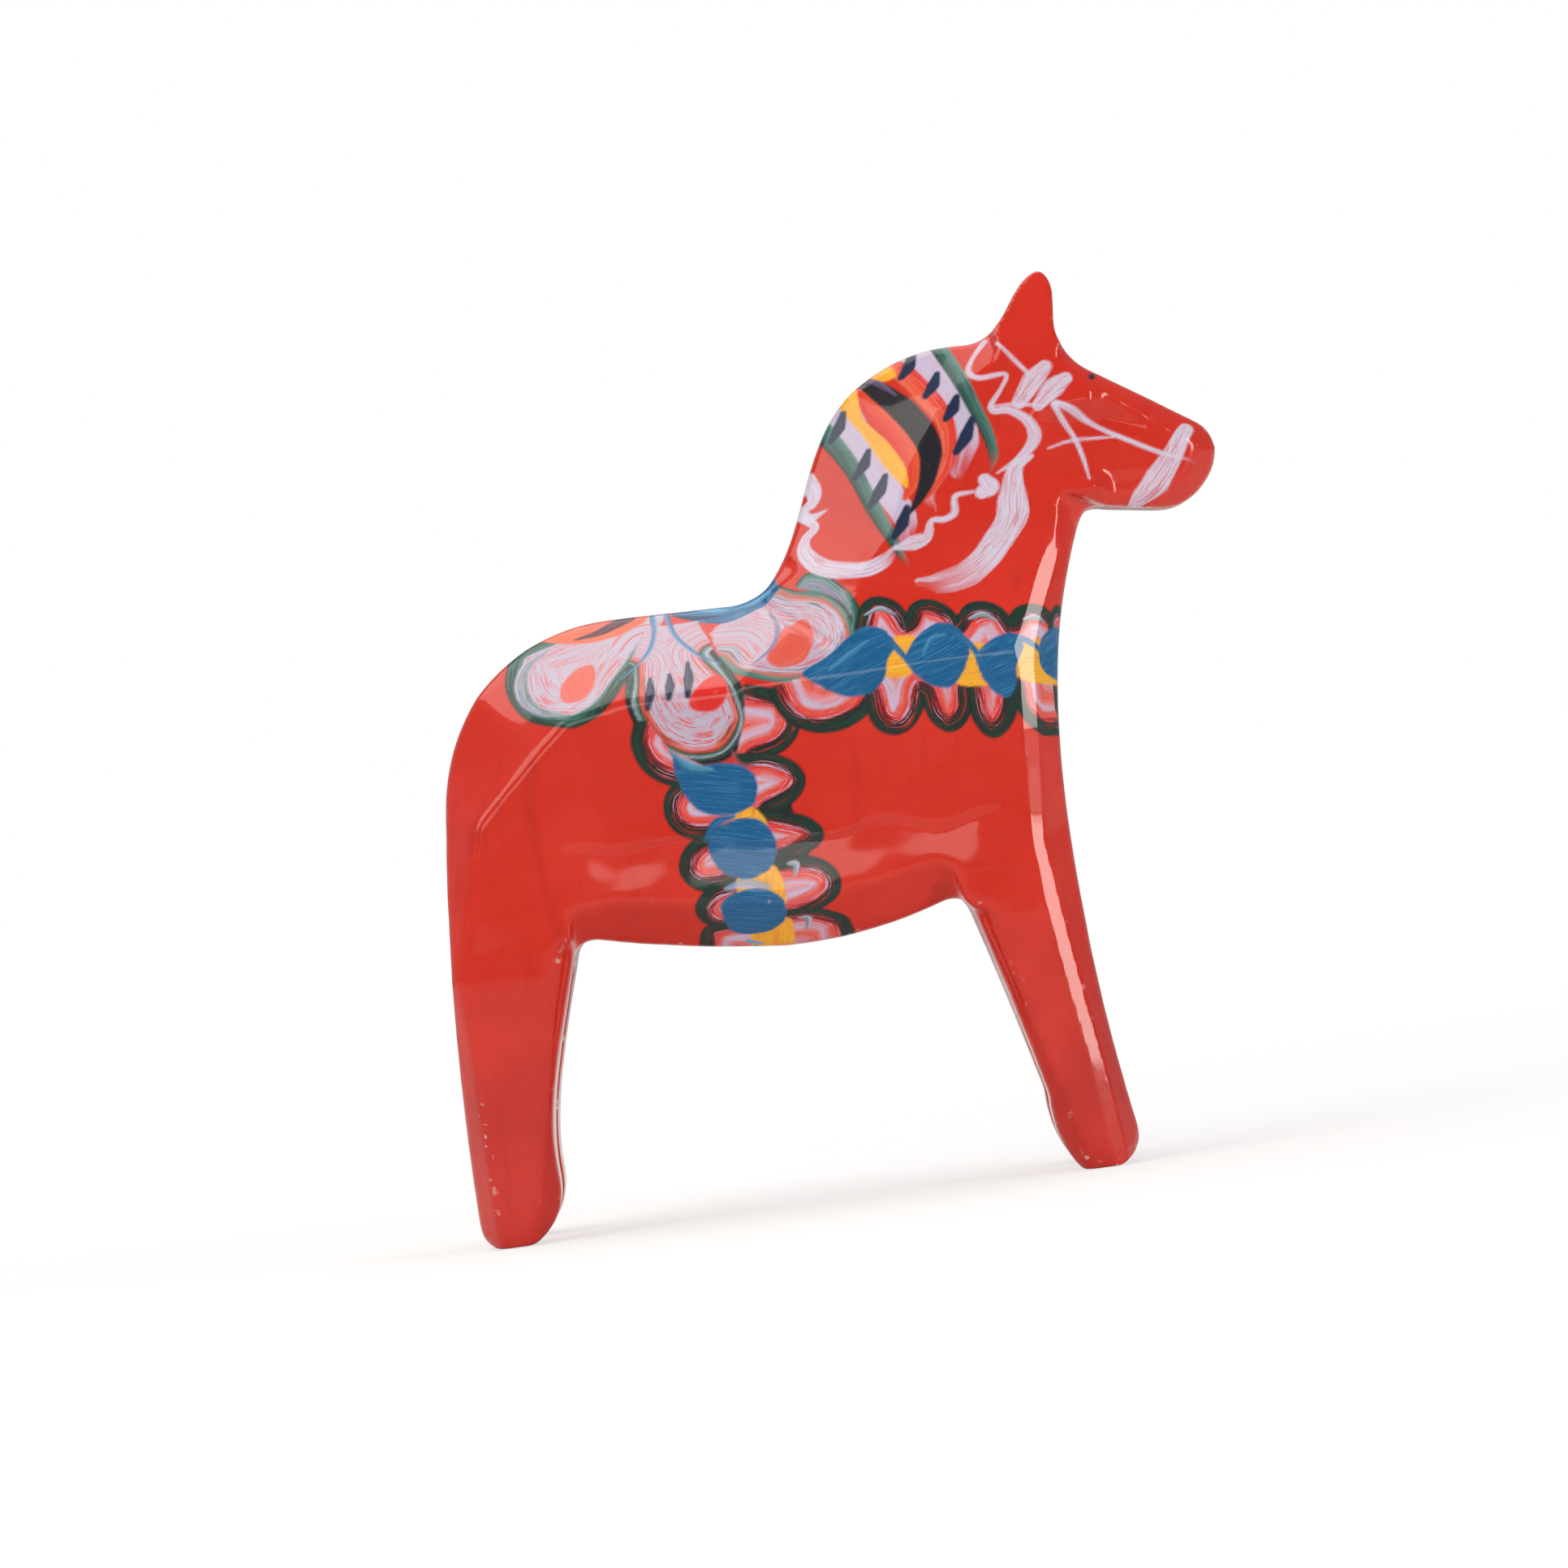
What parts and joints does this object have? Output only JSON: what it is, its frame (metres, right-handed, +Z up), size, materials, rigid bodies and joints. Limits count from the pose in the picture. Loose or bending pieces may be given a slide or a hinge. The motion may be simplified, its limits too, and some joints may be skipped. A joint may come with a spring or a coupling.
{
  "type": "painted wooden folk horse",
  "caption": "Standing carved wooden horse figure with knife-cut facets, glossy red lacquer and hand-painted saddle, mane and halter.",
  "frame": {"origin": "centre of the footprint, on the surface the horse stands on", "axes": "+X from rump to nose, +Y to the horse's left flank, +Z up to the ears"},
  "size_m": [0.121, 0.039, 0.13],
  "materials": {
    "lacquered_wood": "gloss lacquer over paint",
    "bare_birch": "unfinished"
  },
  "bodies": {
    "root": {"right_side_board": "lacquered_wood", "centre_board": "lacquered_wood", "left_side_board": "lacquered_wood", "front_dowel": "bare_birch", "rear_dowel": "bare_birch"}
  },
  "joints": []
}
